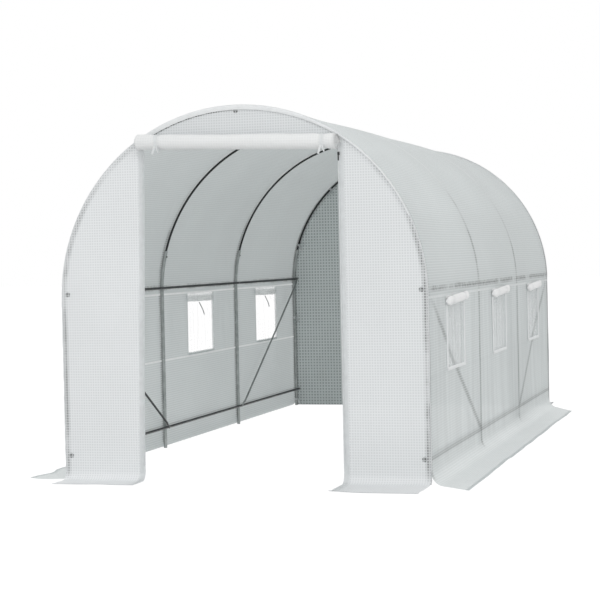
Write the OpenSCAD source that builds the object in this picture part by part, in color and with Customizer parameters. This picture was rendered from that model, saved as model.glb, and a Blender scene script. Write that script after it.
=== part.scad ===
// Walk-in polytunnel greenhouse: a bolted tube frame of four hoops under a sewn film cover.
// Z is up, the doorway faces -Y, and the origin is on the ground at the middle of the tunnel.

/* [Tunnel] */
// Width over the hoop legs
tunnel_w = 2000; // [1600:10:2400]
// Height over the hoop crowns
tunnel_h = 1970; // [1700:10:2400]
// Distance from one hoop to the next
bay_l = 1500; // [1200:10:1900]

/* [Frame tubes] */
// Outside diameter of the hoop legs
leg_d = 22; // [18:0.5:28]
// Wall of every tube
tube_wall = 1.2; // [0.8:0.1:1.5]
// Angle through which the top of each leg bends with the hoop
leg_bend_a = 15; // [8:1:25]
// Outside diameter of the crown arcs, which are thinner than the legs
arc_d = 13; // [10:0.5:16]
// Outside diameter of the rails
rail_d = 16; // [14:0.5:22]
// Outside diameter of the braces
brace_d = 13; // [12:0.5:18]
// Length of tube that plugs into the next tube
spigot_l = 70; // [40:5:100]
// Play all round a plugged tube
spigot_play = 0.3; // [0.2:0.05:0.5]
// Gap between two tubes that cross and are bolted together
cross_gap = 0.3; // [0.2:0.05:0.6]
// Height of the base rails' centre line
base_rail_z = 130; // [110:5:250]
// Height of the shoulder rails' centre line over the spring line
shoulder_rise = 27; // [15:1:60]
// Length of the flattened end of a brace
lug_l = 34; // [28:1:50]
// Bolt hole in the flattened end of a brace
lug_bore = 6.5; // [5:0.5:8]

/* [Cover] */
// Thickness of the cover
cover_t = 3; // [2:0.5:5]
// Gap between the frame and the cover
cover_gap = 0.3; // [0.2:0.05:0.8]
// Drop of the roof sheet's seam below the spring line
seam_drop = 15; // [5:1:100]
// Height of the window bands, from seam to seam
band_h = 412; // [395:1:500]
// Reach of the side skirts out from the wall
side_skirt_w = 226; // [150:1:400]
// Reach of the end skirts out from the wall
end_skirt_w = 295; // [150:1:400]
// Inside radius of the bend from wall to skirt
skirt_bend_r = 45; // [30:1:120]

/* [Doorway] */
// Width of the doorway
door_w = 1090; // [800:10:1200]
// Drop of the gable's lower edge, over the doorway, below the hoop crowns
gable_h = 210; // [200:5:400]
// Outside radius of the rolled-up door
door_roll_r = 44; // [40:1:60]
// Height of the door roll's centre over that edge
door_roll_rise = 25; // [20:1:40]
// Distance of each door tie from the middle of the doorway
door_tie_x = 430; // [250:5:450]
// Width of a door tie
door_tie_w = 20; // [12:1:40]
// Thickness of a door tie
door_tie_t = 2; // [1:0.5:3]

/* [Windows] */
// Width of a window opening
window_w = 500; // [350:10:720]
// Height of a window opening
window_h = 390; // [300:1:392]
// Height of the window sill over the lower seam
window_lift = 17; // [5:1:18]
// Thickness of the window net
net_t = 1.5; // [0.8:0.1:2]
// Outside radius of a rolled-up window flap
flap_roll_r = 25; // [20:1:32]
// Length by which a flap roll is longer than its window
flap_extra = 90; // [0:5:100]

/* [Hidden] */
$fn = 96;
// Colours of the tubes, film, nets and ties
steel = [0.24, 0.26, 0.27];
film = [0.86, 0.88, 0.88];
net = [0.62, 0.67, 0.66];
tape = [0.94, 0.94, 0.94];
// Tunnel section: straight legs up to the spring line, then a half circle
spring_z = tunnel_h - tunnel_w / 2;
hoop_r = tunnel_w / 2 - leg_d / 2;
bays = 3;
// Each leg takes a sleeve, and each arc and rail takes the thinner end of the next
leg_plug_d = plug_d(leg_d);
crown_d = plug_d(arc_d);
rail_plug_d = plug_d(rail_d);
spigot_a = spigot_l / hoop_r * 180 / PI;
step_l = 3;
step_a = step_l / hoop_r * 180 / PI;
arc_in = arc_d - 2 * tube_wall;
// Rails lie along the inside of the hoops
rail_x = hoop_r - leg_d / 2 - cross_gap - rail_d / 2;
shoulder_x = sqrt(rail_x * rail_x - shoulder_rise * shoulder_rise);
shoulder_z = spring_z + shoulder_rise;
ridge_z = spring_z + hoop_r - arc_d / 2 - cross_gap - rail_d / 2;
rail_over = leg_d / 2 - 4;
// Braces lie along the inside of the rails
lug_t = 2 * tube_wall;
lug_w = brace_d * 1.35;
lug_taper = 26;
brace_face_x = shoulder_x - rail_d / 2 - cross_gap;
brace_rise = shoulder_z - base_rail_z;
brace_l = sqrt(bay_l * bay_l + brace_rise * brace_rise);
brace_a = atan2(brace_rise, bay_l);
// Cover faces
wall_in = tunnel_w / 2 + cover_gap;
wall_out = wall_in + cover_t;
end_in = bays / 2 * bay_l + leg_d / 2 + cover_gap;
end_out = end_in + cover_t;
bend_z = skirt_bend_r + cover_t;
upper_seam_z = spring_z - seam_drop;
lower_seam_z = upper_seam_z - band_h;
window_sill_z = lower_seam_z + window_lift;
door_top_z = tunnel_h - gable_h;
// Rolled sheets
roll_gap = 7;
flap_t = 2;
flap_roll_z = upper_seam_z - flap_roll_r - 1;

// Outside diameter of the tube that plugs into a tube of diameter d
function plug_d(d) = d - 2 * tube_wall - 2 * spigot_play;

// Position along the tunnel of hoop i, counted from the front
function hoop_y(i) = (i - bays / 2) * bay_l;

// Position along the tunnel of the middle of bay i
function bay_y(i) = (hoop_y(i) + hoop_y(i + 1)) / 2;

// Points of a spiral sheet that ends on its outside at angle 180
function spiral_arm(r_end, turns, grow) =
  let (n = ceil(turns * 20))
  [for (k = [0:n]) let (b = 360 * turns * k / n) (r_end - grow * b / 360) * [-cos(b), -sin(b)]];

// Cut across a tube
module ring_2d(d, d_in) {
  difference() {
    circle(d = d);
    circle(d = d_in);
  }
}

// Bent tube in the plane of a hoop, from angle a0 to angle a1
module bend(d, d_in, a0, a1) {
  rotate([90, 0, 0])
    rotate([0, 0, a0])
      rotate_extrude(angle = a1 - a0)
        translate([hoop_r, 0])
          ring_2d(d, d_in);
}

// Right-hand leg of a hoop, straight and then bent
module leg() {
  bore = leg_d - 2 * tube_wall;
  translate([hoop_r, 0, 0])
    linear_extrude(spring_z)
      ring_2d(leg_d, bore);
  translate([0, 0, spring_z])
    bend(leg_d, bore, 0, leg_bend_a);
}

// Both legs of hoop i
module hoop_legs(i) {
  color(steel)
    translate([0, hoop_y(i), 0]) {
      leg();
      mirror([1, 0, 0])
        leg();
    }
}

// Sleeve that fits the foot of a right crown arc to the wider bore of its leg
module arc_sleeve() {
  bend(leg_plug_d, arc_d + 2 * spigot_play, leg_bend_a - spigot_a, leg_bend_a);
}

// Left crown arc of hoop i, with its sleeve
module left_arc(i) {
  color(steel)
    translate([0, hoop_y(i), spring_z])
      mirror([1, 0, 0]) {
        arc_sleeve();
        bend(arc_d, arc_in, leg_bend_a - spigot_a, 90 - step_a / 10);
      }
}

// Right crown arc of hoop i, with its sleeve: a thinner end plugs into the left arc
module right_arc(i) {
  crown_in = crown_d - 2 * tube_wall;
  color(steel)
    translate([0, hoop_y(i), spring_z]) {
      arc_sleeve();
      bend(arc_d, arc_in, leg_bend_a - spigot_a, 90 - step_a);
      bend(arc_d, crown_in, 90 - step_a, 90);
      bend(crown_d, crown_in, 90, 90 + spigot_a);
    }
}

// Length of rail with a thinner end that plugs into the next length
module rail_length(l) {
  r = rail_d / 2;
  r_in = r - tube_wall;
  p = rail_plug_d / 2;
  p_in = p - tube_wall;
  rotate([-90, 0, 0])
    rotate_extrude()
      polygon([[r_in, 0], [r, 0], [r, l], [p, l], [p, l + spigot_l], [p_in, l + spigot_l],
               [p_in, l - step_l], [r_in, l - step_l]]);
}

// Last length of rail, open at both ends
module rail_end(l) {
  rotate([-90, 0, 0])
    linear_extrude(l)
      ring_2d(rail_d, rail_d - 2 * tube_wall);
}

// Rail of three lengths, joined where it crosses the middle hoops
module rail(x, z) {
  start = hoop_y(0) - rail_over;
  first = hoop_y(1) - spigot_l / 2;
  second = hoop_y(2) - spigot_l / 2;
  color(steel)
    translate([x, 0, z]) {
      translate([0, start, 0])
        rail_length(first - start);
      translate([0, first + spigot_play, 0])
        rail_length(second - first - spigot_play);
      translate([0, second + spigot_play, 0])
        rail_end(-start - second - spigot_play);
    }
}

// Flattened end of a brace, with its bolt at the origin
module brace_lug() {
  translate([-lug_t, 0, 0])
    difference() {
      hull() {
        rotate([0, 90, 0])
          cylinder(d = lug_w, h = lug_t);
        translate([0, lug_l - 2, -lug_w / 2])
          cube([lug_t, 2, lug_w]);
      }
      translate([-1, 0, 0])
        rotate([0, 90, 0])
          cylinder(d = lug_bore, h = lug_t + 2);
    }
  hull() {
    translate([-lug_t, lug_l - 2, -lug_w / 2])
      cube([lug_t, 2, lug_w]);
    translate([-brace_d / 2, lug_l + lug_taper, 0])
      rotate([-90, 0, 0])
        cylinder(d = brace_d, h = 2, $fn = 48);
  }
}

// Brace on the right wall, from the front hoop's shoulder down to the next hoop's foot
module brace() {
  tube_l = brace_l - 2 * (lug_l + lug_taper) - 2;
  color(steel)
    translate([brace_face_x, hoop_y(0), shoulder_z])
      rotate([-brace_a, 0, 0]) {
        brace_lug();
        translate([0, brace_l, 0])
          mirror([0, 1, 0])
            brace_lug();
        translate([-brace_d / 2, lug_l + lug_taper + 1, 0])
          rotate([-90, 0, 0])
            cylinder(d = brace_d, h = tube_l, $fn = 48);
      }
}

// Section of the tunnel above height z0, at distance r from its middle
module outline_2d(r, z0) {
  intersection() {
    union() {
      translate([0, spring_z])
        circle(r = r, $fn = 180);
      translate([-r, 0])
        square([2 * r, spring_z]);
    }
    translate([-r - 1, z0])
      square([2 * r + 2, tunnel_h + r]);
  }
}

// Wall that bends out at its foot into a skirt: inner face at u, top at z_top
module skirt_2d(u, z_top, reach) {
  translate([u, bend_z])
    square([cover_t, z_top - bend_z]);
  translate([u + bend_z, bend_z])
    intersection() {
      ring_2d(2 * bend_z, 2 * skirt_bend_r);
      translate([-bend_z - 1, -bend_z - 1])
        square(bend_z + 1);
    }
  translate([u + bend_z, 0])
    square([reach + cover_t - bend_z, cover_t]);
}

// Cover over the crown of the tunnel
module roof_cover() {
  color(film)
    rotate([90, 0, 0])
      linear_extrude(2 * end_in, center = true)
        difference() {
          outline_2d(wall_out, upper_seam_z);
          outline_2d(wall_in, upper_seam_z - 1);
        }
}

// Right wall between the two seams, with its three window openings
module window_band() {
  color(film)
    difference() {
      translate([wall_in, -end_in, lower_seam_z])
        cube([cover_t, 2 * end_in, upper_seam_z - lower_seam_z]);
      for (i = [0:bays - 1])
        translate([wall_in - 1, bay_y(i) - window_w / 2, window_sill_z])
          cube([cover_t + 2, window_w, window_h]);
    }
}

// Right wall under the windows, with its skirt
module lower_cover() {
  color(film)
    rotate([90, 0, 0])
      linear_extrude(2 * end_in, center = true)
        skirt_2d(wall_in, lower_seam_z, side_skirt_w);
}

// Foot and skirt of an end panel, from x0 to x1, facing -Y
module end_skirt(x0, x1) {
  translate([(x0 + x1) / 2, 0, 0])
    rotate([0, 0, -90])
      rotate([90, 0, 0])
        linear_extrude(x1 - x0, center = true)
          skirt_2d(end_in, bend_z + 10, end_skirt_w);
}

// Flat part of an end panel from x0 to x1 above z0, facing -Y
module end_sheet(x0, x1, z0) {
  translate([0, -end_in, 0])
    rotate([90, 0, 0])
      linear_extrude(cover_t)
        intersection() {
          outline_2d(wall_out, z0);
          translate([x0, z0])
            square([x1 - x0, tunnel_h + cover_t]);
        }
}

// Front panel on the right of the doorway
module front_side_panel() {
  color(film) {
    end_sheet(door_w / 2, wall_out, bend_z);
    end_skirt(door_w / 2, wall_out);
  }
}

// Front panel over the doorway
module front_gable_panel() {
  color(film)
    end_sheet(-door_w / 2, door_w / 2, door_top_z);
}

// Panel that closes the rear end
module rear_panel() {
  color(film)
    rotate([0, 0, 180]) {
      end_sheet(-wall_out, wall_out, bend_z);
      end_skirt(-wall_out, wall_out);
    }
}

// Rolled sheet along Y, lying against the face x = 0, with its free edge sewn on above
module sheet_roll(r, t, turns, l, lap) {
  grow = t + roll_gap;
  outer = spiral_arm(r, turns, grow);
  inner = spiral_arm(r - t, turns, grow);
  n = len(inner);
  rotate([90, 0, 0])
    linear_extrude(l, center = true) {
      translate([r, 0])
        polygon(concat(outer, [for (k = [n - 1:-1:0]) inner[k]]));
      square([t, lap]);
    }
}

// Door sheet, rolled up and held over the doorway
module door_roll() {
  color(film)
    translate([0, -end_out, door_top_z + door_roll_rise])
      rotate([0, 0, -90])
        sheet_roll(door_roll_r, cover_t, 3.5, door_w, 4);
}

// Two bands round the door roll, with both ends on the gable
module door_ties() {
  r_in = door_roll_r + cover_gap;
  color(tape)
    intersection() {
      for (s = [-1, 1])
        translate([s * door_tie_x, -end_out - door_roll_r, door_top_z + door_roll_rise])
          rotate([0, 90, 0])
            linear_extrude(door_tie_w, center = true)
              ring_2d(2 * (r_in + door_tie_t), 2 * r_in);
      translate([-door_w / 2, -end_out - 3 * door_roll_r, door_top_z - 2 * door_roll_r])
        cube([door_w, 3 * door_roll_r, 6 * door_roll_r]);
    }
}

// Net in the opening of right window i
module window_net(i) {
  color(net)
    translate([wall_in, bay_y(i) - window_w / 2, window_sill_z])
      cube([net_t, window_w, window_h]);
}

// Flap rolled up over right window i
module window_flap(i) {
  color(film)
    translate([wall_out, bay_y(i), flap_roll_z])
      sheet_roll(flap_roll_r, flap_t, 2, window_w + flap_extra, upper_seam_z - flap_roll_z);
}

// The same piece on the left-hand side
module left() {
  mirror([1, 0, 0])
    children();
}

// The same piece at the rear end
module rear() {
  mirror([0, 1, 0])
    children();
}

hoop_legs(0);  // front_hoop_legs
left_arc(0);  // front_hoop_left_arc
right_arc(0);  // front_hoop_right_arc
hoop_legs(1);  // second_hoop_legs
left_arc(1);  // second_hoop_left_arc
right_arc(1);  // second_hoop_right_arc
hoop_legs(2);  // third_hoop_legs
left_arc(2);  // third_hoop_left_arc
right_arc(2);  // third_hoop_right_arc
hoop_legs(3);  // rear_hoop_legs
left_arc(3);  // rear_hoop_left_arc
right_arc(3);  // rear_hoop_right_arc
rail(0, ridge_z);  // ridge_rail
rail(-shoulder_x, shoulder_z);  // left_shoulder_rail
rail(shoulder_x, shoulder_z);  // right_shoulder_rail
rail(-rail_x, base_rail_z);  // left_base_rail
rail(rail_x, base_rail_z);  // right_base_rail
left() brace();  // front_left_brace
brace();  // front_right_brace
left() rear() brace();  // rear_left_brace
rear() brace();  // rear_right_brace
roof_cover();
left() window_band();  // left_window_band
window_band();  // right_window_band
left() lower_cover();  // left_lower_cover
lower_cover();  // right_lower_cover
left() front_side_panel();  // front_left_panel
front_side_panel();  // front_right_panel
front_gable_panel();
rear_panel();
door_roll();
door_ties();
left() window_net(0);  // left_window_net_1
left() window_net(1);  // left_window_net_2
left() window_net(2);  // left_window_net_3
window_net(0);  // right_window_net_1
window_net(1);  // right_window_net_2
window_net(2);  // right_window_net_3
left() window_flap(0);  // left_window_flap_1
left() window_flap(1);  // left_window_flap_2
left() window_flap(2);  // left_window_flap_3
window_flap(0);  // right_window_flap_1
window_flap(1);  // right_window_flap_2
window_flap(2);  // right_window_flap_3
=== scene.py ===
"""Looks of the polytunnel greenhouse: film cover, rolls, nets, tapes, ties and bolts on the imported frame."""
from math import asin, cos, degrees, exp, hypot, pi, radians, sin, sqrt

import bmesh
import bpy
import numpy as np
from mathutils import Matrix, Vector, noise


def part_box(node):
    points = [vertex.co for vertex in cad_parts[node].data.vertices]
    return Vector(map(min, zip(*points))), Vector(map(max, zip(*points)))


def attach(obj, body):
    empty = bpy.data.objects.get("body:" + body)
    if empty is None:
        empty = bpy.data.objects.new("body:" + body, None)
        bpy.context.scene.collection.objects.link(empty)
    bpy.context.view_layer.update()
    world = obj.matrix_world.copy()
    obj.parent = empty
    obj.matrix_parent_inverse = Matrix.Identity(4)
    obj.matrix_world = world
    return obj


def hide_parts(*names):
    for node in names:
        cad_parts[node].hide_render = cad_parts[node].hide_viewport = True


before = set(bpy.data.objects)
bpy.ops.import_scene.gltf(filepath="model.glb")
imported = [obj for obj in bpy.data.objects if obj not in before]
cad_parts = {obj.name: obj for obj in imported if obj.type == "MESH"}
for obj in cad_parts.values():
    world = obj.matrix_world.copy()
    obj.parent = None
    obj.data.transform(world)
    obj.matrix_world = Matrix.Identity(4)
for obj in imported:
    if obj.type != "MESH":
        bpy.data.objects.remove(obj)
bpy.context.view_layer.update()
SCENE = bpy.context.scene

SIDES = {-1: "left", 1: "right"}
HOOP_NAMES = ("front", "second", "third", "rear")
LEG_NODES = [f"{n}_hoop_legs" for n in HOOP_NAMES]


def middle(node, axis):
    """Middle of a node's box along an axis, counted from 0."""
    lo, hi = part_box(node)
    return (lo[axis] + hi[axis]) / 2


# Sizes of the CAD source that no box shows, in metres
HALF_FILM = 0.0015
PLAY = 0.0003
ARC_R = 0.0065
SOLID_ROLL_R = 0.0385
SOLID_FLAP_R = 0.025

# Sizes taken from the CAD nodes
ROOF_LO, ROOF_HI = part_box("roof_cover")
R_OUT = ROOF_HI.x
R = R_OUT - HALF_FILM
SPRING = ROOF_HI.z - R_OUT
END = ROOF_HI.y + HALF_FILM
SEAM_UP = ROOF_LO.z
SEAM_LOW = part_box("right_window_band")[0].z
NET_LO, NET_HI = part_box("right_window_net_1")
WIN_Y = [middle(f"right_window_net_{i}", 1) for i in (1, 2, 3)]
WIN_W = NET_HI.y - NET_LO.y
SILL, HEAD = NET_LO.z, NET_HI.z
GABLE_LO, GABLE_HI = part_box("front_gable_panel")
DOOR = GABLE_HI.x
GABLE_Z = GABLE_LO.z
ROLL_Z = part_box("door_roll")[0].z + SOLID_ROLL_R
FLAP_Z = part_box("right_window_flap_1")[0].z + SOLID_FLAP_R
SKIRT_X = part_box("right_lower_cover")[1].x
REAR_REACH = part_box("rear_panel")[1].y
LEG_LO, LEG_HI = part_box("front_hoop_legs")
LEG_R = (LEG_HI.y - LEG_LO.y) / 2
HOOP_R = LEG_HI.x - LEG_R
HOOP_Y = [middle(n, 1) for n in LEG_NODES]
BAY = HOOP_Y[2] - HOOP_Y[1]
RIDGE_LO, RIDGE_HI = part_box("ridge_rail")
RAIL_R = (RIDGE_HI.x - RIDGE_LO.x) / 2
RIDGE_Z = middle("ridge_rail", 2)
RAIL_X, BASE_Z = (middle("right_base_rail", k) for k in (0, 2))
SHOULDER_X, SHOULDER_Z = (middle("right_shoulder_rail", k) for k in (0, 2))
BRACE_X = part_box("front_right_brace")[1].x
ARC_IN = RIDGE_Z + RAIL_R + PLAY - SPRING
ARC_C = ARC_IN + ARC_R

# Sizes of the forms made here; a pair of values is for the left and the right side
SEAM = 0.010
SEAM_TAPE = 0.014
TRIM_W = 0.022
SILL_TRIM = 0.020
HEM = 0.020
WELT = 0.024
BEND = 0.05
REAR_BEND = 0.018
SIDE_BEND = {-1: 0.028, 1: 0.075}
FRONT_SKIRT = {-1: 0.20, 1: 0.335}
LEFT_LEAN = 0.030

# The rolled door; its tilt is a rise per metre to the right
DOOR_ROLL_R = 0.042
DOOR_ROLL_W = 1.08
DOOR_ROLL_X = 0.01
DOOR_ROLL_Y = -(END + 0.0022)
DOOR_TILT = -0.031
DOOR_TIES = (-0.43, 0.47)

# The rolled flaps: radius, depth against height, distance from the wall, drop below the solid ones, rise
# per metre to the rear, and how far each one's ties are from its middle
FLAP_R = 0.0265
FLAP_DEEP = 0.62
FLAP_OFF = 0.0034
FLAP_HANG = {-1: 0.014, 1: 0.0}
FLAP_LEAN = {-1: -0.012, 1: 0.034}
FLAP_TIE = (0.17, 0.14, 0.17)


# Mesh helpers

def add_object(name, mesh, mats=(), smooth=True):
    """Links a mesh as an object that rides on the tunnel."""
    mesh.name = name
    for m in mats:
        mesh.materials.append(m)
    obj = bpy.data.objects.new(name, mesh)
    SCENE.collection.objects.link(obj)
    if smooth:
        mesh.shade_smooth()
    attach(obj, "root")
    return obj


def grid_mesh(points, uv, keep=None, close_u=False):
    """A mesh over an n by m grid of points, with the flat cut in metres as its UV map."""
    n, m = points.shape[:2]
    index = np.arange(n * m).reshape(n, m)
    if close_u:
        index = np.vstack([index, index[:1]])
        uv = np.concatenate([uv, uv[:1] + (uv[-1:] - uv[-2:-1]) * n], axis=0)
    rows, cols = index.shape
    faces, corner_uv = [], []
    for i in range(rows - 1):
        for j in range(cols - 1):
            if keep is not None and not keep[i, j]:
                continue
            cell = ((i, j), (i + 1, j), (i + 1, j + 1), (i, j + 1))
            faces.append([int(index[c]) for c in cell])
            corner_uv.extend(uv[c] for c in cell)
    mesh = bpy.data.meshes.new("sheet")
    mesh.from_pydata([tuple(p) for p in points.reshape(-1, 3)], [], faces)
    layer = mesh.uv_layers.new(name="cut")
    layer.data.foreach_set("uv", np.array(corner_uv, float).ravel())
    return mesh


def clean(mesh):
    """Drops points that no face uses, and joins points that lie together."""
    bm = bmesh.new()
    bm.from_mesh(mesh)
    bmesh.ops.delete(bm, geom=[v for v in bm.verts if not v.link_faces], context="VERTS")
    bmesh.ops.remove_doubles(bm, verts=bm.verts, dist=1e-5)
    bm.to_mesh(mesh)
    bm.free()
    return mesh


def bmesh_to_mesh(bm):
    """Mesh of a bmesh, which is freed."""
    mesh = bpy.data.meshes.new("joined")
    bm.to_mesh(mesh)
    bm.free()
    return mesh


def blank(rows, cols):
    """Empty points and flat places of a grid."""
    return np.zeros((rows, cols, 3)), np.zeros((rows, cols, 2))


def ripple(p, scale, seed=0.0):
    """Smooth noise from -1 to 1 at a point."""
    return noise.noise(Vector((p[0] * scale + seed, p[1] * scale - seed, p[2] * scale + 3.1 * seed)))


# Camera: the photograph's viewing angle

def make_camera():
    """Camera fitted to the photo, with its focal length in pixels of the photo."""
    place = Vector((2.7661, -10.92, 1.1866))
    yaw, pitch, roll = -0.2745, -0.0261, -0.0211
    focal_px, photo_px = 1736.96, 600
    d = Vector((sin(yaw) * cos(pitch), cos(yaw) * cos(pitch), sin(pitch)))
    r = Vector((cos(yaw), -sin(yaw), 0))
    u = r.cross(d)
    right = r * cos(roll) + u * sin(roll)
    up = u * cos(roll) - r * sin(roll)
    cam = bpy.data.cameras.new("camera")
    cam.sensor_fit = "HORIZONTAL"
    cam.sensor_width = 36
    cam.lens = focal_px / photo_px * cam.sensor_width
    cam.clip_end = 200
    obj = bpy.data.objects.new("camera", cam)
    m = Matrix((right, up, -d)).transposed().to_4x4()
    m.translation = place
    obj.matrix_world = m
    SCENE.collection.objects.link(obj)
    SCENE.camera = obj


make_camera()
SCENE.view_settings.view_transform = "Standard"


# Materials

class Shade:
    """Builds the nodes of one procedural material, or of a world that is given."""

    def __init__(self, name, world=None):
        self.owner = world or bpy.data.materials.new(name)
        self.owner.use_nodes = True
        self.tree = self.owner.node_tree
        self.tree.nodes.clear()

    def put(self, socket, value):
        """Links a socket to a node's first output or to a socket, or sets its value."""
        if isinstance(value, bpy.types.Node):
            value = value.outputs[0]
        if isinstance(value, bpy.types.NodeSocket):
            self.tree.links.new(value, socket)
        elif socket.type == "RGBA" and len(value) == 3:
            socket.default_value = (*value, 1)
        else:
            socket.default_value = value

    def node(self, kind, *values, **named):
        """A new node, with inputs in order or by name (a space is written as _)."""
        n = self.tree.nodes.new("ShaderNode" + kind)
        for socket, value in zip(n.inputs, values):
            self.put(socket, value)
        for key, value in named.items():
            self.put(n.inputs[key.replace("_", " ")], value)
        return n

    def math(self, operation, a, b=0.0):
        n = self.node("Math", a, b)
        n.operation = operation
        return n

    def times(self, *values):
        """Product of values."""
        out = values[0]
        for v in values[1:]:
            out = self.math("MULTIPLY", out, v)
        return out

    def length(self, a, b):
        """Length of the flat vector (a, b)."""
        return self.math("SQRT", self.math("ADD", self.times(a, a), self.times(b, b)))

    def remap(self, value, a, b, low, high):
        """Low at a and high at b, and no further past them."""
        return self.node("MapRange", Value=value, From_Min=a, From_Max=b, To_Min=low, To_Max=high)

    def mix(self, fac, a, b):
        """Mix of two colours."""
        n = self.node("Mix")
        n.data_type = "RGBA"
        for k, value in ((0, fac), (6, a), (7, b)):
            self.put(n.inputs[k], value)
        return n.outputs[2]

    def scale(self, colour, by):
        n = self.node("VectorMath", colour)
        n.operation = "SCALE"
        self.put(n.inputs["Scale"], by)
        return n

    def place(self, stretch=(1, 1, 1), uv=False):
        """Coordinates of the surface in metres, stretched."""
        source = self.node("UVMap") if uv else self.node("TexCoord")
        if uv:
            source.uv_map = "cut"
        return self.node("Mapping", Vector=source.outputs["UV" if uv else "Object"], Scale=stretch)

    def xyz(self, uv=False):
        """The three coordinates of the surface, in metres."""
        return self.node("SeparateXYZ", Vector=self.place(uv=uv)).outputs

    def noise(self, scale, detail=2.0, stretch=(1, 1, 1), uv=False, distort=0.0):
        where = self.place(stretch, uv)
        return self.node("TexNoise", Vector=where, Scale=scale, Detail=detail, Distortion=distort)

    def threads(self, pitch, width):
        """1 on the lines of a woven grid in the flat cut, 0 between them."""
        off = [self.math("PINGPONG", k, pitch / 2) for k in self.xyz(uv=True)[:2]]
        return self.math("MAXIMUM", *(self.remap(d, width * 0.35, width * 0.65, 1, 0) for d in off))

    def bump(self, height, strength, distance):
        return self.node("Bump", Height=height, Strength=strength, Distance=distance)

    def mixed(self, fac, a, b):
        """Mix of two shaders."""
        return self.node("MixShader", fac, a, b)

    def done(self, shader, output="OutputMaterial"):
        self.put(self.node(output).inputs["Surface"], shader)
        return self.owner


def near(s, value, centre, half):
    """1 within half a tube of a place, falling softly to 0 like a shadow on the film."""
    off = s.math("ABSOLUTE", s.math("SUBTRACT", value, centre))
    return s.remap(off, half * 1.7, half * 0.3, 0, 1)


def shoulder_rail_shadow(s, z):
    """Painted shadow of the shoulder rail on the film, in long uneven strokes."""
    stroke = s.remap(s.noise(3.2, 3, stretch=(0.1, 1, 0.1)), 0.40, 0.47, 0.1, 1)
    speck = s.remap(s.noise(34, 2), 0.35, 0.55, 0.35, 1)
    drift = s.remap(s.noise(6, 2, stretch=(0.1, 1, 0.1)), 0.3, 0.7, -0.004, 0.004)
    return s.times(near(s, s.math("ADD", z, drift), SHOULDER_Z, 0.0125), stroke, speck)


def brace_shadow(s, y, z):
    """Painted shadow of the braces of the end bays, from the shoulder rail, where it is faint, down to the
    base rail.
    """
    rise = SHOULDER_Z - BASE_Z
    long = hypot(BAY, rise)
    along = s.times(s.math("SUBTRACT", s.math("ABSOLUTE", y), BAY / 2), rise / long)
    up = s.times(s.math("SUBTRACT", z, BASE_Z), -BAY / long)
    return s.times(near(s, s.math("ADD", along, up), 0.0, 0.019), s.remap(z, BASE_Z, BASE_Z + 0.02, 0, 1),
                s.remap(z, SHOULDER_Z - 0.02, SHOULDER_Z - 0.17, 0, 1))


def side_painted_shadows(s, x, y, z, braces=0.56):
    """Painted shadows of the legs, rails and braces that lie against the side sheets."""
    patchy = s.remap(s.noise(5, 3, stretch=(1, 1, 0.6)), 0.38, 0.62, 0.55, 1)
    along = s.math("PINGPONG", y, BAY / 2)
    legs = s.times(near(s, along, BAY / 2, 0.022), patchy, s.remap(z, 0.02, 0.06, 0, 1))
    shoulder = shoulder_rail_shadow(s, z)
    base = near(s, z, BASE_Z, 0.010)
    return ((legs, 0.68), (shoulder, 0.85), (base, 0.5), (brace_shadow(s, y, z), braces)), ()


def left_painted_shadows(s, x, y, z):
    """The same painted shadows on the left, where the braces stand clear of the film and their shadow is
    faint.
    """
    return side_painted_shadows(s, x, y, z, 0.03)


def roof_painted_light(s, x, y, z):
    """Painted shadows of the hoops under the roof sheet low down, and a painted highlight where the film is
    tight over them.
    """
    along = s.math("PINGPONG", y, BAY / 2)
    low = s.remap(z, SPRING + 0.72, SPRING + 0.40, 0, 1)
    patchy = s.remap(s.noise(7, 3), 0.42, 0.6, 0.4, 1)
    hoops = s.times(near(s, along, BAY / 2 - 0.002, 0.019), low, patchy)
    hoop_highlight = s.times(near(s, along, BAY / 2, 0.009), s.remap(low, 0, 1, 1, 0.2))
    shoulder = shoulder_rail_shadow(s, z)
    return ((hoops, 0.74), (shoulder, 0.8)), ((hoop_highlight, 0.6),)


def end_painted_shadows(s, x, y, z):
    """Painted shadows of the end hoop and rail ends that press on an end panel."""
    up = s.math("MAXIMUM", s.math("SUBTRACT", z, SPRING), 0.0)
    patchy = s.remap(s.noise(6, 3), 0.40, 0.58, 0.35, 1)
    low = s.remap(z, SPRING + 0.9, SPRING + 0.1, 0.25, 1)
    hoop = s.times(near(s, s.length(x, up), ARC_C, 0.0115), patchy, low, s.remap(z, 0.012, 0.05, 0, 1))
    ends = []
    for px, pz in ((0, RIDGE_Z), (SHOULDER_X, SHOULDER_Z), (RAIL_X, BASE_Z)):
        off = s.length(s.math("SUBTRACT", s.math("ABSOLUTE", x), px), s.math("SUBTRACT", z, pz))
        ends.append((s.remap(off, 0.016, 0.010, 0, 1), 0.85))
    return ((hoop, 0.62), *ends), ()


def gable_painted_shadows(s, x, y, z):
    """The same painted shadows over the doorway, with a painted shadow line under the left half of the welt.
    """
    dark, painted_highlights = end_painted_shadows(s, x, y, z)
    r = s.length(x, s.math("SUBTRACT", z, SPRING))
    line = s.times(near(s, r, R_OUT - WELT, 0.0038), s.remap(x, 0.012, -0.012, 0, 1))
    return (*dark, (line, 0.95)), painted_highlights


# Colours of the painted shadows of the frame on the film and of the painted highlights over the hoops.
PAINTED_SHADOW_TONE = (0.05, 0.058, 0.056)
PAINTED_HIGHLIGHT_TONE = (0.97, 0.975, 0.975)


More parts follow.
